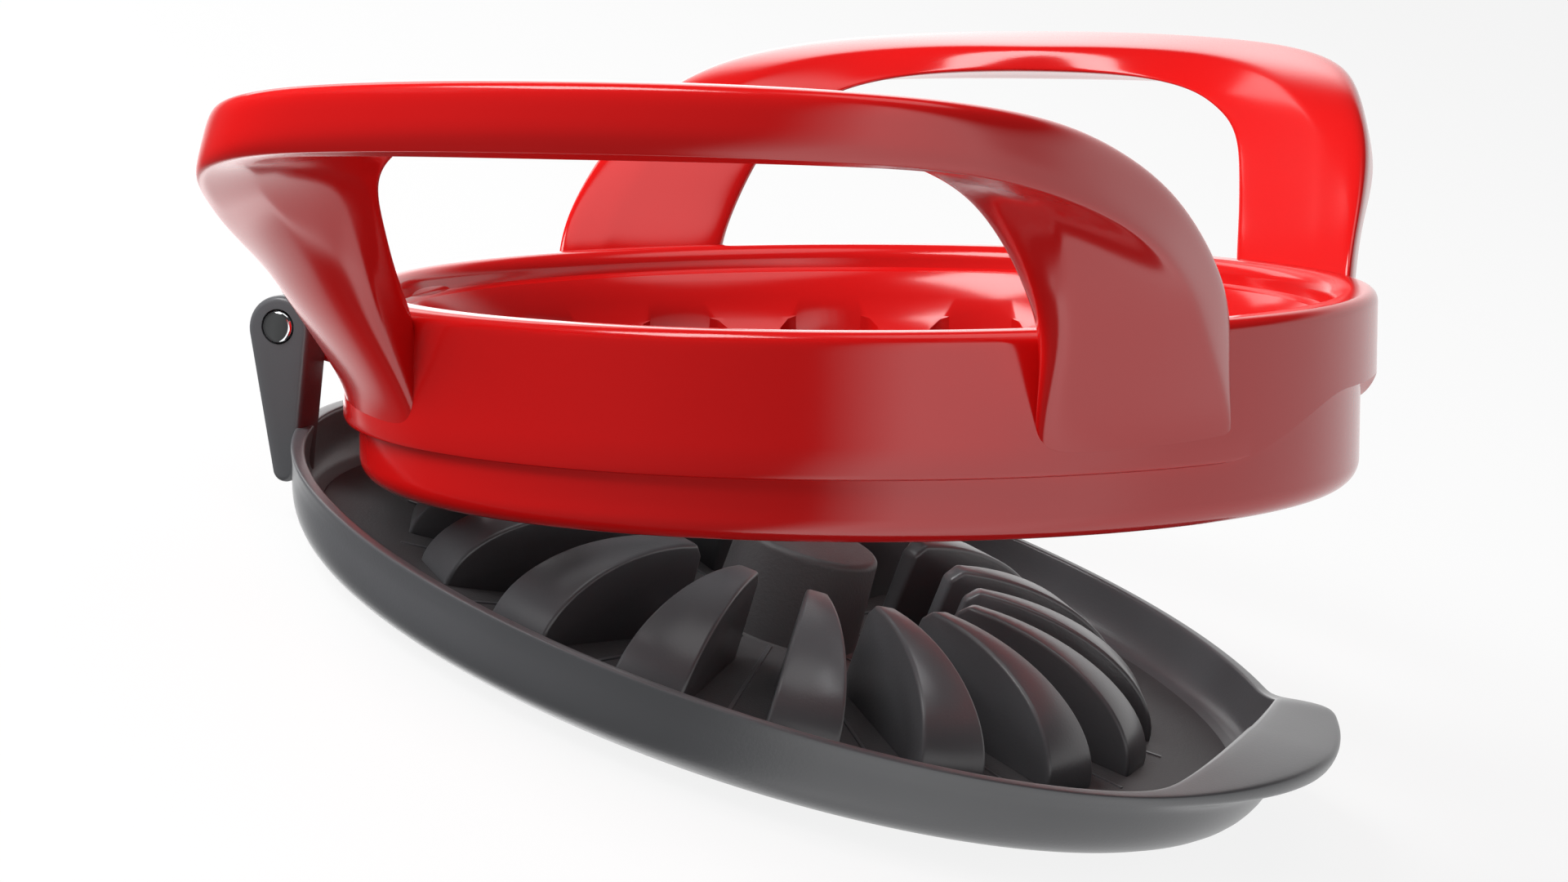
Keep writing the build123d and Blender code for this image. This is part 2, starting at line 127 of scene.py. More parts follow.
def finish(name, look):
    material = bpy.data.materials.new(name)
    material.use_nodes = True
    tree = material.node_tree
    shader = tree.nodes["Principled BSDF"]
    for socket, value in look["shader"].items():
        shader.inputs[socket].default_value = value
    drift = addNode(tree, "ShaderNodeGroup", node_tree=driftGroup)
    drift.inputs["Colour"].default_value = (*look["colour"], 1)
    drift.inputs["Dark Colour"].default_value = (*look["darkColour"], 1)
    drift.inputs["Scale"].default_value = look["driftScale"]
    moulded = addNode(tree, "ShaderNodeGroup", node_tree=grainGroup)
    moulded.inputs["Scale"].default_value = look["grainScale"]
    moulded.inputs["Depth"].default_value = look["grainDepth"]
    moulded.inputs["Base Roughness"].default_value = look["roughness"]
    moulded.inputs["Roughness Spread"].default_value = look["roughnessSpread"]
    tree.links.new(drift.outputs["Colour"], shader.inputs["Base Color"])
    tree.links.new(moulded.outputs["Roughness"], shader.inputs["Roughness"])
    tree.links.new(moulded.outputs["Normal"], shader.inputs["Normal"])
    return material


redLook = {
    "colour": (0.64, 0.0062, 0.0062), "darkColour": (0.60, 0.0055, 0.0055), "driftScale": 25.0,
    "grainScale": 700.0, "grainDepth": 0.015, "roughness": 0.15, "roughnessSpread": 0.05,
    "shader": {"Specular IOR Level": 0.5},
}
darkLook = {
    "colour": (0.1, 0.102, 0.109), "darkColour": (0.084, 0.085, 0.09), "driftScale": 60.0,
    "grainScale": 2600.0, "grainDepth": 0.1, "roughness": 0.3, "roughnessSpread": 0.05,
    "shader": {"Specular IOR Level": 0.45},
}
# Pusher floor: a real rougher, sanded finish, and a colour darker than the fingers' plastic that is
# painted shade for the floor under the cutter and between the fingers
sandedShadedLook = {
    "colour": (0.075, 0.073, 0.076), "darkColour": (0.06, 0.059, 0.061), "driftScale": 60.0,
    "grainScale": 2200.0, "grainDepth": 0.3, "roughness": 0.5, "roughnessSpread": 0.08,
    "shader": {"Specular IOR Level": 0.3},
}
padLook = {
    "colour": (0.02, 0.02, 0.021), "darkColour": (0.014, 0.014, 0.015), "driftScale": 80.0,
    "grainScale": 1500.0, "grainDepth": 0.5, "roughness": 0.75, "roughnessSpread": 0.15,
    "shader": {},
}
steelLook = {
    "colour": (0.62, 0.63, 0.64), "darkColour": (0.52, 0.53, 0.54), "driftScale": 120.0,
    "grainScale": 1800.0, "grainDepth": 0.08, "roughness": 0.24, "roughnessSpread": 0.12,
    "shader": {"Metallic": 1.0},
}
pinLook = {
    "colour": (0.72, 0.73, 0.74), "darkColour": (0.64, 0.65, 0.66), "driftScale": 200.0,
    "grainScale": 2500.0, "grainDepth": 0.02, "roughness": 0.10, "roughnessSpread": 0.04,
    "shader": {"Metallic": 1.0},
}
redPlastic = finish("redPlastic", redLook)
darkPlastic = finish("darkPlastic", darkLook)
# darker than darkPlastic as painted shade on the pusher floor; its roughness is the real sanded
# finish
sandedShadedPlastic = finish("sandedShadedPlastic", sandedShadedLook)
softPad = finish("softPad", padLook)
bladeSteel = finish("bladeSteel", steelLook)
polishedPin = finish("polishedPin", pinLook)
screwSteel = finish("screwSteel", steelLook)

nodeFinish = {
    "base_tray": darkPlastic, "pusher_plate": darkPlastic, "base_pad": softPad,
    "plate_screws": screwSteel, "hinge_pin": polishedPin, "cutter_frame": redPlastic,
    "blade_carrier": redPlastic, "carrier_screws": screwSteel, "core_ring": bladeSteel,
}
for name, node in nodes.items():
    node.data.materials.clear()
    node.data.materials.append(nodeFinish.get(name, bladeSteel))
print("finishes set")


def newPiece(name, bm, material):
    bmesh.ops.recalc_face_normals(bm, faces=bm.faces)
    mesh = bpy.data.meshes.new(name)
    bm.to_mesh(mesh)
    bm.free()
    mesh.materials.append(material)
    piece = bpy.data.objects.new(name, mesh)
    bpy.context.scene.collection.objects.link(piece)
    return piece


# Turns the piece with its modifiers into one plain mesh and puts it where it belongs
def settle(piece, place, sharpDegrees=40.0):
    bpy.context.view_layer.update()
    graph = bpy.context.evaluated_depsgraph_get()
    finished = bpy.data.meshes.new_from_object(piece.evaluated_get(graph), depsgraph=graph)
    piece.modifiers.clear()
    piece.data = finished
    finished.transform(place)
    finished.shade_smooth()
    finished.set_sharp_from_angle(angle=radians(sharpDegrees))
    return piece


def addSubdivision(piece, levels):
    smooth = piece.modifiers.new("smooth", "SUBSURF")
    smooth.levels = levels
    smooth.render_levels = levels


def addBevel(piece, width, steps=3, angle=35.0):
    bevel = piece.modifiers.new("edges", "BEVEL")
    bevel.width = width
    bevel.segments = steps
    bevel.limit_method = "ANGLE"
    bevel.angle_limit = radians(angle)


# Skins closed loops of equal length; capped says whether the two ends are filled
def skin(loops, capped, closed=False):
    bm = bmesh.new()
    rows = [[bm.verts.new(point) for point in loop] for loop in loops]
    count = len(rows[0])
    pairs = list(zip(rows, rows[1:]))
    if closed:
        pairs.append((rows[-1], rows[0]))
    for low, high in pairs:
        for i in range(count):
            j = (i + 1) % count
            bm.faces.new((low[i], low[j], high[j], high[i]))
    if capped:
        bm.faces.new(rows[0])
        bm.faces.new(rows[-1])
    return bm


# Turns a closed outline about the middle; outlineAt gives its (radius, height) points at an angle
def turned(outlineAt, steps):
    loops = []
    for step in range(steps):
        angle = 2 * pi * step / steps
        loops.append([Vector((r * cos(angle), r * sin(angle), z)) for r, z in outlineAt(angle)])
    return skin(loops, capped=False, closed=True)


def lathe(outline, steps):
    return turned(lambda angle: outline, steps)


def arcPoints(centre, radius, fromDegrees, toDegrees, steps):
    out = []
    for i in range(steps + 1):
        angle = radians(fromDegrees + (toDegrees - fromDegrees) * i / steps)
        out.append((centre[0] + radius * cos(angle), centre[1] + radius * sin(angle)))
    return out


def smoothStep(value):
    value = min(1.0, max(0.0, value))
    return value * value * (3 - 2 * value)


# Soft change from 0 at the span's first value to 1 at its second
def easeOver(span, value):
    return smoothStep((value - span[0]) / (span[1] - span[0]))


# Takes the tool's shape out of the piece
def cutAway(piece, tool):
    boolean = piece.modifiers.new("cut", "BOOLEAN")
    boolean.operation = "DIFFERENCE"
    boolean.solver = "EXACT"
    boolean.object = tool
    bpy.context.view_layer.update()
    graph = bpy.context.evaluated_depsgraph_get()
    piece.data = bpy.data.meshes.new_from_object(piece.evaluated_get(graph), depsgraph=graph)
    piece.modifiers.clear()
    bpy.data.objects.remove(tool, do_unlink=True)


# A slab whose outline is the hull of circles (x, z, radius), standing across Y
def hullSlab(circles, nearY, farY, steps=48):
    bm = bmesh.new()
    for x, z, radius in circles:
        for y in (nearY, farY):
            for i in range(steps):
                angle = 2 * pi * i / steps
                bm.verts.new((x + radius * cos(angle), y, z + radius * sin(angle)))
    hull = bmesh.ops.convex_hull(bm, input=bm.verts)
    bmesh.ops.delete(bm, geom=[v for v in hull["geom_interior"] if v.is_valid], context="VERTS")
    bmesh.ops.dissolve_limit(bm, angle_limit=radians(1), verts=bm.verts, edges=bm.edges)
    return bm


# Geometry Nodes tree that sets copies of one shape around the middle
def ringOfCopiesTree():
    tree = bpy.data.node_groups.new("ringOfCopies", "GeometryNodeTree")
    newSocket = tree.interface.new_socket
    newSocket("Geometry", in_out="INPUT", socket_type="NodeSocketGeometry")
    count = newSocket("Count", in_out="INPUT", socket_type="NodeSocketInt")
    start = newSocket("Start Angle", in_out="INPUT", socket_type="NodeSocketFloat")
    material = newSocket("Material", in_out="INPUT", socket_type="NodeSocketMaterial")
    newSocket("Geometry", in_out="OUTPUT", socket_type="NodeSocketGeometry")
    groupIn, groupOut = tree.nodes.new("NodeGroupInput"), tree.nodes.new("NodeGroupOutput")
    points = tree.nodes.new("GeometryNodeMeshLine")
    points.inputs["Offset"].default_value = (0, 0, 0)
    index = tree.nodes.new("GeometryNodeInputIndex")
    share = addNode(tree, "ShaderNodeMath", operation="DIVIDE")
    turn = addNode(tree, "ShaderNodeMath", operation="MULTIPLY_ADD")
    turn.inputs[1].default_value = 2 * pi
    axis = tree.nodes.new("ShaderNodeCombineXYZ")
    rotation = tree.nodes.new("FunctionNodeEulerToRotation")
    copies = tree.nodes.new("GeometryNodeInstanceOnPoints")
    real = tree.nodes.new("GeometryNodeRealizeInstances")
    paint = tree.nodes.new("GeometryNodeSetMaterial")
    link = tree.links.new
    link(groupIn.outputs["Count"], points.inputs["Count"])
    link(index.outputs[0], share.inputs[0])
    link(groupIn.outputs["Count"], share.inputs[1])
    link(share.outputs[0], turn.inputs[0])
    link(groupIn.outputs["Start Angle"], turn.inputs[2])
    link(turn.outputs[0], axis.inputs["Z"])
    link(axis.outputs[0], rotation.inputs[0])
    link(points.outputs["Mesh"], copies.inputs["Points"])
    link(groupIn.outputs["Geometry"], copies.inputs["Instance"])
    link(rotation.outputs[0], copies.inputs["Rotation"])
    link(copies.outputs["Instances"], real.inputs["Geometry"])
    link(real.outputs["Geometry"], paint.inputs["Geometry"])
    link(groupIn.outputs["Material"], paint.inputs["Material"])
    link(paint.outputs["Geometry"], groupOut.inputs["Geometry"])
    sockets = {"Count": count, "Start Angle": start, "Material": material}
    return tree, {label: socket.identifier for label, socket in sockets.items()}


copiesTree, copiesSockets = ringOfCopiesTree()


def addCopies(piece, count, startDegrees, material):
    modifier = piece.modifiers.new("ringOfCopies", "NODES")
    modifier.node_group = copiesTree
    modifier[copiesSockets["Count"]] = count
    modifier[copiesSockets["Start Angle"]] = radians(startDegrees)
    modifier[copiesSockets["Material"]] = material


# A plain block, used as a cutting tool only
def block(lowCorner, highCorner):
    bm = bmesh.new()
    bmesh.ops.create_cube(bm, size=1)
    low, high = Vector(lowCorner), Vector(highCorner)
    for vert in bm.verts:
        vert.co = Vector([low[i] + (high[i] - low[i]) * (vert.co[i] + 0.5) for i in range(3)])
    return bm


# The handles are one arch each: four edge lines run from the foot on the tab side over the bar.
# At each station: band's top edge, band's lower edge, opening's outer edge, opening's inner edge.
# A spread is how much wider the arch is, then the shift of its inner and of its outer edges.
handles = {
    "edgeRadius": {
        "foot": (0.8, 0.6, 0.7, 0.8), "shoulder": (1.5, 0.8, 3.6, 1.5), "bar": (1.4, 1.4, 1.7, 1.3),
    },
    "mostOfEdge": 0.4,  # share of an edge that a rounding may take
    "ridge": {"foot": (0.7, 0.6), "shoulder": (0.62, 1.6), "bar": (0.15, 3.0)},  # place, height
    "ridgeSides": ((-0.03, 0.9), (0.04, 0.97)), "ridgeFade": 0.58,
    "frontSpread": (1.036, 1.2, -0.4),
    "rearSpread": (1.004, -1.6, -1.3),
    "shiftHeights": (-14.0, 8.0), "shiftWidths": (35.0, 50.0),
    "rearUnderLift": 1.2, "liftReach": (78.0, 92.0), "liftBelow": (25.0, 22.0),
    "smoothing": 3,
    "stations": (
        ((55.8, 32.6, -16.2), (56.0, 33.6, -16.4), (39.4, 52.2, -16.6), (38.0, 50.6, -16.6)),
        ((56.6, 32.6, -13.8), (56.5, 34.3, -13.6), (39.0, 53.3, -14.4), (37.6, 50.9, -14.4)),
        ((56.9, 33.4, -11.0), (56.5, 35.9, -10.6), (38.9, 54.7, -12.0), (37.6, 51.1, -12.0)),
        ((56.9, 35.6, -6.4), (56.5, 40.6, -6.3), (39.4, 57.6, -7.4), (37.6, 51.4, -7.4)),
        ((57.0, 38.0, 0.3), (55.9, 47.9, -0.5), (40.5, 61.8, -1.0), (37.2, 53.2, -1.0)),
        ((57.1, 43.2, 5.4), (55.6, 53.3, 3.9), (41.2, 66.2, 4.8), (36.2, 60.0, 4.8)),
        ((56.7, 51.5, 11.4), (55.4, 59.8, 7.3), (41.6, 71.6, 10.2), (34.8, 65.6, 10.4)),
        ((55.2, 60.0, 17.3), (54.9, 66.2, 10.2), (41.6, 76.2, 14.2), (33.2, 70.9, 14.8)),
        ((52.6, 67.8, 21.4), (53.6, 72.6, 12.9), (41.0, 80.8, 17.0), (31.2, 74.4, 17.6)),
        ((49.6, 77.8, 24.9), (51.2, 80.8, 15.7), (39.8, 85.6, 18.8), (28.6, 77.0, 19.4)),
        ((45.4, 88.9, 27.1), (47.4, 88.8, 18.4), (38.0, 90.4, 19.9), (25.8, 79.4, 20.9)),
        ((37.2, 98.3, 28.7), (39.4, 96.9, 20.9), (33.4, 94.8, 20.3), (22.2, 81.6, 22.0)),
        ((26.0, 102.7, 29.6), (26.0, 102.4, 21.9), (24.2, 98.6, 20.6), (16.2, 84.0, 23.0)),
        ((13.0, 105.2, 30.1), (13.0, 105.0, 22.4), (12.4, 100.8, 20.7), (8.4, 85.3, 23.6)),
        ((0.0, 106.0, 30.2), (0.0, 105.8, 22.5), (0.0, 101.5, 20.7), (0.0, 85.6, 23.8)),
    ),
}


# A point between two edge lines that bows round the middle as they do
def acrossHandle(start, end, share):
    point = start.lerp(end, share)
    reach = hypot(start.x, start.y) * (1 - share) + hypot(end.x, end.y) * share
    spread = reach / hypot(point.x, point.y)
    return Vector((point.x * spread, point.y * spread, point.z))


# A value given at the foot, the shoulder and the middle of the bar, anywhere between them
def alongHandle(values, share):
    names = ("foot", "shoulder", "bar")
    place = share * 2
    low = min(int(place), 1)
    first, second = values[names[low]], values[names[low + 1]]
    return [a + (b - a) * (place - low) for a, b in zip(first, second)]


# One section: corners rounded, and a soft ridge on the side that the palm meets
def handleLoop(corners, radii, ridge):
    fills = ((0.5,), (0.25, 0.5, 0.75), (0.5,), ())  # extra points after each corner
    loop = []
    for i, corner in enumerate(corners):
        before, after = corners[i - 1], corners[(i + 1) % 4]
        back = min(radii[i], (before - corner).length * handles["mostOfEdge"])
        ahead = min(radii[i], (after - corner).length * handles["mostOfEdge"])
        loop.append(corner + (before - corner).normalized() * back)
        loop.append(corner + (after - corner).normalized() * ahead)
        loop += [acrossHandle(corner, after, share) for share in fills[i]]
    outer, inner = corners[0], corners[3]
    face = (outer - inner).normalized()
    thickness = (outer + inner - corners[1] - corners[2]) / 2
    out = (thickness - face * thickness.dot(face)).normalized()
    place, height = ridge
    line = [(place + beside, part) for beside, part in handles["ridgeSides"]]
    line.append(((1 + place) / 2, handles["ridgeFade"]))
    for share, part in line:
        loop.append(acrossHandle(inner, outer, share) + out * height * part)
    return loop


def handleMesh():
    half = [[Vector(point) for point in station] for station in handles["stations"]]
    other = [[Vector((-p.x, p.y, p.z)) for p in station] for station in reversed(half[:-1])]
    stations = half + other
    loops = []
    for number, station in enumerate(stations):
        share = min(number, len(stations) - 1 - number) / (len(half) - 1)
        radii = alongHandle(handles["edgeRadius"], share)
        ridge = alongHandle(handles["ridge"], share)
        loops.append(handleLoop(station, radii, ridge))
    bm = skin(loops, capped=True)
    twin = bmesh.ops.duplicate(bm, geom=bm.verts[:] + bm.edges[:] + bm.faces[:])
    for item in twin["geom"]:
        if isinstance(item, bmesh.types.BMVert):
            item.co.y = -item.co.y
    for vert in bm.verts:
        side = "rearSpread" if vert.co.y > 0 else "frontSpread"
        spread, inside, outside = handles[side]
        shift = inside + (outside - inside) * easeOver(handles["shiftWidths"], abs(vert.co.x))
        share = easeOver(handles["shiftHeights"], vert.co.z)
        vert.co.x += (vert.co.x * (spread - 1) + shift) * share
        rear = easeOver(handles["liftReach"], vert.co.y)
        under = easeOver(handles["liftBelow"], vert.co.z)
        vert.co.z += handles["rearUnderLift"] * (rear * under)
    return bm


handlePiece = newPiece("handles", handleMesh(), redPlastic)
addSubdivision(handlePiece, handles["smoothing"])
settle(handlePiece, cutterPlace, 60.0)
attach(handlePiece, "cutter")
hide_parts("cutter_frame")
print("handles made")

# The ring has its skirt outside and its funnel inside; heights are below the top of the rim
ring = {
    "outer": 66.0, "skirtBottom": -16.9, "skirtInner": 63.0, "rimRound": 1.5, "rimFlat": 63.6,
    "skirtEdge": ((0.8, 0.0), (0.25, 0.24), (0.0, 0.8)),  # in from the outside, up from the bottom
    "wallHeights": (-13.0, -9.0, -5.0, -2.2),
    "rimInner": 60.4, "innerRound": 2.4, "bore": 50.5, "boreTop": -14.6, "boreFoot": -15.6,
    "funnel": (
        (60.2, -3.1), (59.8, -3.4), (59.0, -3.6), (58.0, -4.8), (57.0, -7.0), (55.7, -9.6),
        (54.0, -11.8), (52.0, -13.6),
    ),
    "floorRadii": (54.0, 58.0), "steps": 256, "sharpDegrees": 32.0,
    "carrierOuter": 64.0, "carrierBottom": -24.5, "carrierRound": 3.0, "carrierTop": -16.95,
    "carrierHeights": (-19.0, -17.0, -13.0), "stripTop": -9.3,
    "notchHalf": 36.5, "notchFlat": 9.0, "notchRise": 6.6, "notchDegrees": 36,
    "archTip": 56.0, "archSpring": 54.0, "archInner": 44.5, "webHalf": 3.7,
    "frameArches": (-20.0, -2.0), "carrierArches": (-26.0, -14.0),
}


def ringOutline():
    outer, rimRound, bottom = ring["outer"], ring["rimRound"], ring["skirtBottom"]
    line = [(ring["skirtInner"], bottom)]
    line += [(outer - inwards, bottom + up) for inwards, up in ring["skirtEdge"]]
    line += [(outer, z) for z in ring["wallHeights"]]
    line += arcPoints((outer - rimRound, -rimRound), rimRound, 0, 90, 6)
    line += [(ring["rimFlat"], 0.0)]
    innerRound = ring["innerRound"]
    line += arcPoints((ring["rimInner"] + innerRound, -innerRound), innerRound, 90, 180, 8)
    line += ring["funnel"]
    line += [(ring["bore"], z) for z in (ring["boreTop"], ring["boreFoot"], bottom)]
    line += [(r, bottom) for r in ring["floorRadii"]]
    return line


# A prism with an arched outer end that lies between two blades
def archCutter(bottom, top, steps=12):
    slope = tan(pi / segments)
    margin = ring["webHalf"] / cos(pi / segments)
    near, far = ring["archInner"], ring["archSpring"]
    nearHalf, farHalf = near * slope - margin, far * slope - margin
    plan = [(near, -nearHalf)]
    for i in range(steps + 1):
        y = -farHalf + 2 * farHalf * i / steps
        bulge = sqrt(max(0.0, 1 - (y / farHalf) ** 2))
        plan.append((far + (ring["archTip"] - far) * bulge, y))
    plan.append((near, nearHalf))
    loops = [[Vector((x, y, z)) for x, y in plan] for z in (bottom, top)]
    return skin(loops, capped=True)


# The wave in the skirt over the thumb tab, down to the strip behind it
def notchCutter():
    loops = []
    for degrees in range(-ring["notchDegrees"], ring["notchDegrees"] + 1):
        angle = radians(degrees)
        reach = abs(ring["outer"] * sin(angle))
        rise = ring["notchRise"] * easeOver((ring["notchHalf"], ring["notchFlat"]), reach)
        low, high = ring["skirtBottom"] - 1, ring["skirtBottom"] + max(rise, 0.001)
        inner, outer = ring["carrierOuter"] - 0.05, ring["outer"] + 2
        corners = ((inner, low), (outer, low), (outer, high), (inner, high))
        loops.append([Vector((r * cos(angle), r * sin(angle), z)) for r, z in corners])
    return skin(loops, capped=True)


def archTools(span):
    tools = newPiece("archTools", archCutter(*span), redPlastic)
    addCopies(tools, segments, 0.0, redPlastic)
    return tools


ringPiece = newPiece("ringShell", lathe(ringOutline(), ring["steps"]), redPlastic)
cutAway(ringPiece, newPiece("notchTool", notchCutter(), redPlastic))
cutAway(ringPiece, archTools(ring["frameArches"]))
settle(ringPiece, cutterPlace, ring["sharpDegrees"])
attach(ringPiece, "cutter")


def carrierOutline():
    outer, bottom, rounding = ring["carrierOuter"], ring["carrierBottom"], ring["carrierRound"]
    line = [(r, bottom) for r in (ring["bore"], *ring["floorRadii"])]
    line += arcPoints((outer - rounding, bottom + rounding), rounding, -90, 0, 10)
    line += [(outer, z) for z in (*ring["carrierHeights"], ring["stripTop"])]
    line += [(ring["skirtInner"], ring["stripTop"]), (ring["skirtInner"], ring["carrierTop"])]
    line += [(ring["bore"], ring["carrierTop"])]
    return line


carrierPiece = newPiece("lowerRing", lathe(carrierOutline(), ring["steps"]), redPlastic)
cutAway(carrierPiece, archTools(ring["carrierArches"]))
settle(carrierPiece, cutterPlace, ring["sharpDegrees"])
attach(carrierPiece, "cutter")
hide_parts("blade_carrier")

# The lug that turns between the tray's ears: circles of x, height and radius under one skin
lug = {
    "circles": ((-71.6, -6.0, 4.3), (-61.8, -11.0, 1.5), (-61.3, -3.6, 1.5)),
    "halfWidth": 15.5, "edge": 0.5,
}
lugMesh = hullSlab(lug["circles"], -lug["halfWidth"], lug["halfWidth"])
lugPiece = newPiece("hingeLug", lugMesh, redPlastic)
addBevel(lugPiece, lug["edge"])
settle(lugPiece, cutterPlace, 35.0)
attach(lugPiece, "cutter")
print("ring and lug made")

# A blade is a thin strip with a ground lower edge, inside the core ring at one end
blade = {
    "inner": 12.4, "outer": 57.4, "half": 0.25, "top": -15.0, "edge": -24.4,
    "bevel": 2.2, "edgeHalf": 0.03, "topBreak": 0.06,
}


def bladeMesh():
    half, top, edge, topBreak = blade["half"], blade["top"], blade["edge"], blade["topBreak"]
    section = [(-half + topBreak, top), (half - topBreak, top), (half, top - topBreak)]
    section += [(half, edge + blade["bevel"]), (blade["edgeHalf"], edge)]
    section += [(-blade["edgeHalf"], edge), (-half, edge + blade["bevel"]), (-half, top - topBreak)]
    ends = (blade["inner"], blade["outer"])
    loops = [[Vector((x, y, z)) for y, z in section] for x in ends]
    return skin(loops, capped=True)


bladePiece = newPiece("bladeStar", bladeMesh(), bladeSteel)
addCopies(bladePiece, segments, 180.0 / segments, bladeSteel)
settle(bladePiece, cutterPlace, 20.0)
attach(bladePiece, "cutter")
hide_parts(*[f"blade_{number:02d}" for number in range(1, segments + 1)])
print("blades made")

# The tab is a stretch of the tray's rim that is drawn out and up, more gently in front
tray = {
    "tabTurn": 5.0, "tabReach": 1.2,
    "frontFlat": 0.0, "frontEnd": 38.0, "rearFlat": 15.0, "rearEnd": 27.0,
    "chord": 61.3, "chordBow": 0.0018, "chordMiddle": 2.0,
    "frontSoftness": 1.6, "rearSoftness": 0.5,
    "steps": 240, "smoothing": 1,
}
# Radius and height of each point of the wall, how far the tab moves it, and how far the point
# follows the bowed inner edge of the tab instead of the circle
trayLine = (
    (51.0, 1.1, 0, 0, 0), (54.0, 1.0, 0, 0, 0), (59.4, 1.3, 0, 0, 0), (62.5, 2.1, 0, 0, 0),
    (64.6, 3.6, 0, 0, 0), (65.8, 5.4, 0, 0, 0), (66.4, 7.0, 0, 0, 0), (66.8, 8.5, 0, 0, 0),
    (67.0, 9.4, 0.1, 0.1, 0), (67.2, 10.0, 0.5, 0.4, 0), (67.35, 10.4, 1.6, 0.8, 0),
    (67.45, 10.7, 3.1, 1.1, 0), (67.55, 10.95, 3.9, 1.4, 0), (67.65, 11.2, 4.3, 1.8, 0),
    (67.85, 11.65, 4.4, 2.7, 0), (67.9, 11.9, 4.3, 3.15, 0), (67.75, 12.06, 4.1, 3.3, 0),
    (67.45, 12.1, 3.7, 3.3, 0), (67.0, 12.1, 2.6, 3.1, 0.1), (66.6, 12.1, 1.2, 2.7, 0.4),
    (66.25, 12.08, 0.2, 2.3, 1), (66.05, 11.9, 0, 2.2, 1), (65.95, 11.5, 0, 1.9, 1),
    (65.75, 9.8, 0, 0.7, 0.3), (65.5, 8.0, 0, 0.1, 0.1), (65.0, 6.4, 0, 0, 0), (64.3, 5.5, 0, 0, 0),
    (63.6, 5.15, 0, 0, 0), (62.6, 4.9, 0, 0, 0), (61.9, 4.5, 0, 0, 0), (51.0, 4.5, 0, 0, 0),
)


def trayShape(angle):
    swing = (angle - radians(tray["tabTurn"]) + pi) % (2 * pi) - pi
    side = "rear" if swing > 0 else "front"
    fade = (radians(tray[side + "Flat"]), radians(tray[side + "End"]))
    share = 1 - easeOver(fade, abs(swing))
    across = (tray["chord"] * sin(angle) - tray["chordMiddle"]) ** 2
    chord = (tray["chord"] - tray["chordBow"] * across) / max(cos(angle), 0.1)
    line = []
    for r, z, outwards, upwards, straight in trayLine:
        reach = r + outwards * tray["tabReach"] * share
        inner = (reach + chord - hypot(reach - chord, tray[side + "Softness"])) / 2
        line.append((reach + (inner - reach) * straight, z + upwards * share))
    return line


trayPiece = newPiece("trayShell", turned(trayShape, tray["steps"]), darkPlastic)
addSubdivision(trayPiece, tray["smoothing"])
settle(trayPiece, basePlace, 60.0)
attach(trayPiece, "base")
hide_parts("base_tray")

# The two ears that carry the pin; each has a shallow bore for the pin's end
ears = {
    "circles": ((-70.3, 23.4, 4.3), (-64.2, 6.2, 1.7), (-67.3, 14.0, 1.7)),
    "inner": 16.0, "outer": 22.4, "edge": 0.8, "boreRadius": 2.3, "boreDepth": 1.0,
}


def boreMesh(outerY):
    bm = bmesh.new()
    radius, depth = ears["boreRadius"], 2 * ears["boreDepth"]
    sizes = {"radius1": radius, "radius2": radius, "depth": depth}
    bmesh.ops.create_cone(bm, cap_ends=True, segments=48, **sizes)
    bmesh.ops.rotate(bm, matrix=Matrix.Rotation(pi / 2, 3, "X"), verts=bm.verts)
    bmesh.ops.translate(bm, vec=(hinge["pin"][0], outerY, hinge["pin"][2]), verts=bm.verts)
    return bm


for label, side in (("earFront", -1), ("earRear", 1)):
    earMesh = hullSlab(ears["circles"], side * ears["inner"], side * ears["outer"])
    earPiece = newPiece(label, earMesh, darkPlastic)
    addBevel(earPiece, ears["edge"], 4)
    settle(earPiece, Matrix.Identity(4), 35.0)
    cutAway(earPiece, newPiece("boreTool", boreMesh(side * ears["outer"]), darkPlastic))
    settle(earPiece, basePlace, 35.0)
    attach(earPiece, "base")
print("tray made")

# The pusher stands on the tray's floor; its pieces are sunk a little into it
pusher = {
    "floor": 5.0, "sunk": 0.4, "plateUnder": 3.4, "plateRadius": 62.2, "plateEdge": 0.2,
    "plugRadius": 9.4, "plugBase": 10.0, "plugHeight": 12.6, "plugRound": 0.9, "plugFoot": 0.5,
    "fingerInner": 20.6, "fingerShoulder": 26.5, "fingerOuter": 50.3, "fingerHeight": 12.4,
    "fingerTip": ((1.0, 1.7), (2.6, 0.1)),  # out from the inner end, down from the top
    "innerHalf": 1.15, "outerHalf": 4.7, "edge": 0.55, "backDegrees": 84, "backSteps": 20,
    "ribHalf": 0.45, "ribTopHalf": 0.25, "ribHeight": 0.16, "ribSunk": 0.3, "ribEnd": 52.0,
}


# A finger: steep at its inner end, then a long quarter round down to the floor
def fingerMesh():
    low = pusher["floor"] - pusher["sunk"]
    top = pusher["floor"] + pusher["fingerHeight"]
    inner, outer, shoulder = pusher["fingerInner"], pusher["fingerOuter"], pusher["fingerShoulder"]
    side = [(inner, low)] + [(inner + along, top - down) for along, down in pusher["fingerTip"]]
    for i in range(pusher["backSteps"] + 1):
        angle = radians(90 - pusher["backDegrees"] * i / pusher["backSteps"])
        side.append((shoulder + (outer - shoulder) * cos(angle), low + (top - low) * sin(angle)))
    side.append((outer, low))
    loops = []
    for sign in (1, -1):
        loop = []
        for x, z in side:
            share = (x - inner) / (outer - inner)
            half = pusher["innerHalf"] + (pusher["outerHalf"] - pusher["innerHalf"]) * share
            loop.append(Vector((x, sign * half, z)))
        loops.append(loop)
    return skin(loops, capped=True)


fingerPiece = newPiece("pusherFingers", fingerMesh(), darkPlastic)
addBevel(fingerPiece, pusher["edge"], 3)
addCopies(fingerPiece, segments, 0.0, darkPlastic)
settle(fingerPiece, basePlace, 40.0)
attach(fingerPiece, "base")
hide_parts("pusher_plate")

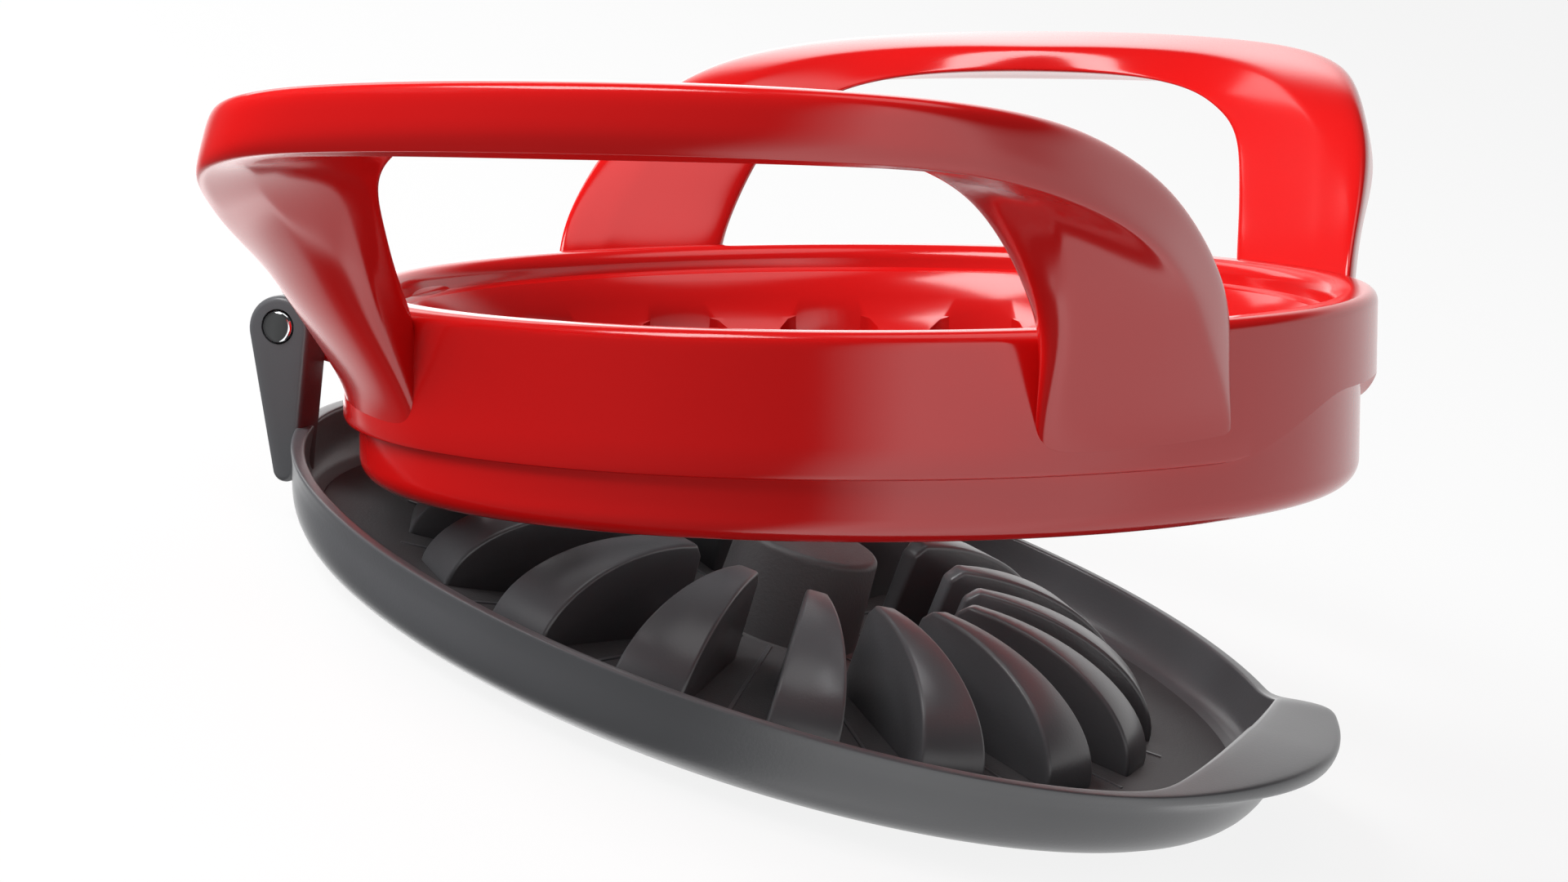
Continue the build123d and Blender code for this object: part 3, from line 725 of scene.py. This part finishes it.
axisGap = 0.01  # a turned outline stops this far from its axis
plugTop = pusher["floor"] + pusher["plugHeight"]
plugRound, floorEdge = pusher["plugRound"], pusher["plateRadius"] - pusher["plateEdge"]
plugLine = [(axisGap, plugTop), (5.0, plugTop)]
plugLine += arcPoints((pusher["plugRadius"] - plugRound, plugTop - plugRound), plugRound, 90, 0, 6)
plugLine += [(pusher["plugBase"], pusher["floor"] + pusher["sunk"])]
plugLine += [(pusher["plugBase"] + pusher["plugFoot"], pusher["floor"])]
plugLine += [(30.0, pusher["floor"]), (floorEdge, pusher["floor"])]
plugLine += [(pusher["plateRadius"], pusher["floor"] - pusher["plateEdge"])]
plugLine += [(pusher["plateRadius"], pusher["plateUnder"]), (axisGap, pusher["plateUnder"])]
# The floor's material is darker than the fingers' plastic as painted shade; its sanded roughness is
# real
plugPiece = newPiece("pusherFloor", lathe(plugLine, 160), sandedShadedPlastic)
settle(plugPiece, basePlace, 40.0)
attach(plugPiece, "base")

# A low rib under each blade, from the plug towards the wall
ribFoot, ribCrest = pusher["ribHalf"], pusher["ribTopHalf"]
ribCorners = [(-ribFoot, -pusher["ribSunk"]), (ribFoot, -pusher["ribSunk"])]
ribCorners += [(ribCrest, pusher["ribHeight"]), (-ribCrest, pusher["ribHeight"])]
ribLoops = []
for x in (pusher["plugRadius"], pusher["ribEnd"]):
    ribLoops.append([Vector((x, y, pusher["floor"] + z)) for y, z in ribCorners])
ribPiece = newPiece("floorRibs", skin(ribLoops, capped=True), darkPlastic)
addCopies(ribPiece, segments, 180.0 / segments, darkPlastic)
settle(ribPiece, basePlace, 30.0)
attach(ribPiece, "base")

# The pin has slightly domed, polished ends
pin = {"radius": 2.1, "halfLength": 22.9, "rounding": 0.55, "dome": 0.12, "flat": (0.9, 0.02)}
pinEnd, pinShoulder = -pin["halfLength"], pin["radius"] - pin["rounding"]
pinLine = [(axisGap, pinEnd), (pin["flat"][0], pinEnd + pin["flat"][1])]
pinLine += [(pinShoulder, pinEnd + pin["dome"])]
for degrees in (-60, -30, 0):
    bend = radians(degrees)
    height = pinEnd + pin["dome"] + pin["rounding"] * (1 + sin(bend))
    pinLine.append((pinShoulder + pin["rounding"] * cos(bend), height))
pinLine += [(r, -z) for r, z in reversed(pinLine)]
pinMesh = lathe(pinLine, 48)
bmesh.ops.rotate(pinMesh, matrix=Matrix.Rotation(pi / 2, 3, "X"), verts=pinMesh.verts)
bmesh.ops.translate(pinMesh, vec=(hinge["pin"][0], 0, hinge["pin"][2]), verts=pinMesh.verts)
pinPiece = newPiece("polishedHingePin", pinMesh, polishedPin)
settle(pinPiece, basePlace, 50.0)
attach(pinPiece, "base")
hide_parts("hinge_pin")

# Screws: pan heads with a cross recess, drawn upright on their circle and copied around the middle
screws = {
    "headRadius": 2.2, "headHeight": 1.1, "shankRadius": 1.1,
    "headRound": ((0.5, 0.0), (0.12, 0.16), (0.0, 0.5)),  # in from the side, up from the face
    "crossHalf": 0.28, "crossReach": 1.2, "crossDepth": 0.5,
}


def screwMesh(circle, headUnder, length):
    r, h = screws["headRadius"], screws["headHeight"]
    line = [(axisGap, headUnder)]
    line += [(r - inwards, headUnder + up) for inwards, up in screws["headRound"]]
    line += [(r, headUnder + h), (screws["shankRadius"], headUnder + h)]
    line += [(screws["shankRadius"], headUnder + length), (axisGap, headUnder + length)]
    bm = lathe(line, 32)
    bmesh.ops.translate(bm, vec=(circle, 0, 0), verts=bm.verts)
    return bm


# The recess is cut before the copies are made, so that every head has it
def makeScrews(name, circle, headUnder, length, count, startDegrees, place, body, node):
    piece = newPiece(name, screwMesh(circle, headUnder, length), screwSteel)
    reach, half, depth = screws["crossReach"], screws["crossHalf"], screws["crossDepth"]
    for size in ((reach, half), (half, reach)):
        low = (circle - size[0], -size[1], headUnder - 1)
        high = (circle + size[0], size[1], headUnder + depth)
        cutAway(piece, newPiece("crossTool", block(low, high), screwSteel))
    addCopies(piece, count, startDegrees, screwSteel)
    settle(piece, place, 35.0)
    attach(piece, body)
    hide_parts(node)


makeScrews("plateScrewHeads", 38.0, 1.0, 9.9, 4, 45.0, basePlace, "base", "plate_screws")
makeScrews("carrierScrewHeads", 59.4, -23.9, 12.9, 8, 0.0, cutterPlace, "cutter", "carrier_screws")
print("pusher, pin and screws made")

# The floor shows to the camera only, so that it neither mirrors in the plastic nor lights it
floor = {"halfWidth": 6.0, "colour": (0.12, 0.12, 0.12), "glow": 0.86, "roughness": 0.9}
floorMesh = bpy.data.meshes.new("floor")
half = floor["halfWidth"]
corners = [(-half, -half, 0), (half, -half, 0), (half, half, 0), (-half, half, 0)]
floorMesh.from_pydata(corners, [], [(0, 1, 2, 3)])
floorObject = bpy.data.objects.new("floor", floorMesh)
bpy.context.scene.collection.objects.link(floorObject)
floorObject.visible_glossy = False
floorObject.visible_diffuse = False
floorObject.visible_shadow = False
paleFloor = bpy.data.materials.new("paleFloor")
paleFloor.use_nodes = True
floorShader = paleFloor.node_tree.nodes["Principled BSDF"]
floorShader.inputs["Base Color"].default_value = (*floor["colour"], 1)
floorShader.inputs["Roughness"].default_value = floor["roughness"]
floorShader.inputs["Specular IOR Level"].default_value = 0.0
floorShader.inputs["Emission Color"].default_value = (1, 1, 1, 1)
floorShader.inputs["Emission Strength"].default_value = floor["glow"]
floorMesh.materials.append(paleFloor)

# A round studio: what the gloss mirrors, by the compass direction in degrees, and by height
studio = {
    "backdrop": 0.93, "fillAbove": 0.3, "fillBelow": 0.56, "shade": 0.05, "ceiling": 1.7,
    "shadeRange": (0.44, 0.6), "ceilingRange": (0.92, 0.965), "fillRange": (-0.4, 0.2),
    "walls": (
        (0, 1.6), (45, 1.05), (90, 0.95), (105, 1.2), (112, 2.2), (119, 2.1), (127, 1.0),
        (137, 0.5), (143, 0.12), (172, 0.04), (240, 0.1), (281, 0.06), (299, 2.1), (342, 2.1),
        (360, 1.6),
    ),
}
world = bpy.data.worlds.new("studio")
bpy.context.scene.world = world
world.use_nodes = True
tree = world.node_tree
direction = addNode(tree, "ShaderNodeTexCoord")
parts = addNode(tree, "ShaderNodeSeparateXYZ")
compass = addNode(tree, "ShaderNodeMath", operation="ARCTAN2")
fraction = addNode(tree, "ShaderNodeMath", operation="DIVIDE")
wrapped = addNode(tree, "ShaderNodeMath", operation="FRACT")
walls = addNode(tree, "ShaderNodeValToRGB")
brighter = addNode(tree, "ShaderNodeVectorMath", operation="SCALE")
height = addNode(tree, "ShaderNodeMapRange")
ceiling = addNode(tree, "ShaderNodeMapRange")
fill = addNode(tree, "ShaderNodeMapRange")
overhead = addNode(tree, "ShaderNodeMix", data_type="RGBA")
rayKind = addNode(tree, "ShaderNodeLightPath")
mirrored = addNode(tree, "ShaderNodeMix", data_type="RGBA")
seen = addNode(tree, "ShaderNodeMix", data_type="RGBA")
fraction.inputs[1].default_value = 2 * pi
peak = max(level for _, level in studio["walls"])
brighter.inputs["Scale"].default_value = peak
stops = walls.color_ramp.elements
while len(stops) < len(studio["walls"]):
    stops.new(0.5)
for stop, (degrees, _) in zip(stops, studio["walls"]):
    stop.position = degrees / 360
for stop, (_, level) in zip(stops, studio["walls"]):
    stop.color = (level / peak, level / peak, level / peak, 1)
spans = ((height, "shadeRange"), (ceiling, "ceilingRange"), (fill, "fillRange"))
for node, span in spans:
    node.inputs["From Min"].default_value, node.inputs["From Max"].default_value = studio[span]
ceiling.inputs["To Min"].default_value = studio["shade"]
ceiling.inputs["To Max"].default_value = studio["ceiling"]
fill.inputs["To Min"].default_value = studio["fillBelow"]
fill.inputs["To Max"].default_value = studio["fillAbove"]
seen.inputs["B"].default_value = (studio["backdrop"],) * 3 + (1,)
link = tree.links.new
link(direction.outputs["Generated"], parts.inputs[0])
link(parts.outputs["Y"], compass.inputs[0])
link(parts.outputs["X"], compass.inputs[1])
link(compass.outputs[0], fraction.inputs[0])
link(fraction.outputs[0], wrapped.inputs[0])
link(wrapped.outputs[0], walls.inputs[0])
link(walls.outputs["Color"], brighter.inputs[0])
link(parts.outputs["Z"], height.inputs["Value"])
link(parts.outputs["Z"], ceiling.inputs["Value"])
link(height.outputs[0], overhead.inputs["Factor"])
link(ceiling.outputs[0], overhead.inputs["B"])
link(brighter.outputs[0], overhead.inputs["A"])
link(rayKind.outputs["Is Glossy Ray"], mirrored.inputs["Factor"])
link(parts.outputs["Z"], fill.inputs["Value"])
link(fill.outputs[0], mirrored.inputs["A"])
link(overhead.outputs["Result"], mirrored.inputs["B"])
link(rayKind.outputs["Is Camera Ray"], seen.inputs["Factor"])
link(mirrored.outputs["Result"], seen.inputs["A"])
link(seen.outputs["Result"], tree.nodes["Background"].inputs["Color"])


def softbox(name, place, target, size, power, mirrored):
    lamp = bpy.data.lights.new(name, "AREA")
    lamp.shape = "RECTANGLE"
    lamp.size, lamp.size_y = size
    lamp.energy = power
    box = bpy.data.objects.new(name, lamp)
    bpy.context.scene.collection.objects.link(box)
    box.visible_glossy = mirrored
    box.location = place
    box.rotation_euler = (Vector(target) - Vector(place)).to_track_quat("-Z", "Y").to_euler()


softboxes = {
    "leftBox": ((-0.98, 0.03, 0.30), (0, 0, 0.05), (0.62, 0.62), 4.6, False),
    "sheen": ((-0.60, -0.42, 0.80), (0, 0, 0.05), (0.44, 0.44), 6.5, True),
    "frontKey": ((-0.78, -0.55, 0.42), (0, 0, 0.05), (0.5, 0.5), 6.0, False),
    "rearPanel": ((-0.80, 0.58, 0.42), (0, 0, 0.05), (0.28, 0.5), 0.9, True),
    "topBox": ((-0.1, 0.1, 1.2), (0, 0, 0.05), (0.9, 0.9), 1.3, False),
}
for name, values in softboxes.items():
    softbox(name, *values)

# The camera is placed in the cutter's own closed position and turns up with it
view = {
    "place": (162.0, -496.6, 45.5), "yaw": 19.12, "pitch": 7.21, "lens": 93.7,
    "sensor": 36.0, "clip": (0.01, 30.0),
}
camera = bpy.data.cameras.new("camera")
camera.lens = view["lens"]
camera.sensor_width = view["sensor"]
camera.clip_start, camera.clip_end = view["clip"]
cameraObject = bpy.data.objects.new("camera", camera)
bpy.context.scene.collection.objects.link(cameraObject)
closedPlace = (Vector(view["place"]) + Vector((hinge["centre"], 0, hinge["rimHeight"]))) * mm
swing = Matrix.Rotation(radians(view["yaw"]), 4, "Z")
aim = swing @ Matrix.Rotation(radians(90 - view["pitch"]), 4, "X")
cameraObject.matrix_world = openTurn @ Matrix.Translation(closedPlace) @ aim
bpy.context.scene.camera = cameraObject
bpy.context.scene.view_settings.view_transform = "Standard"
print("stage set")
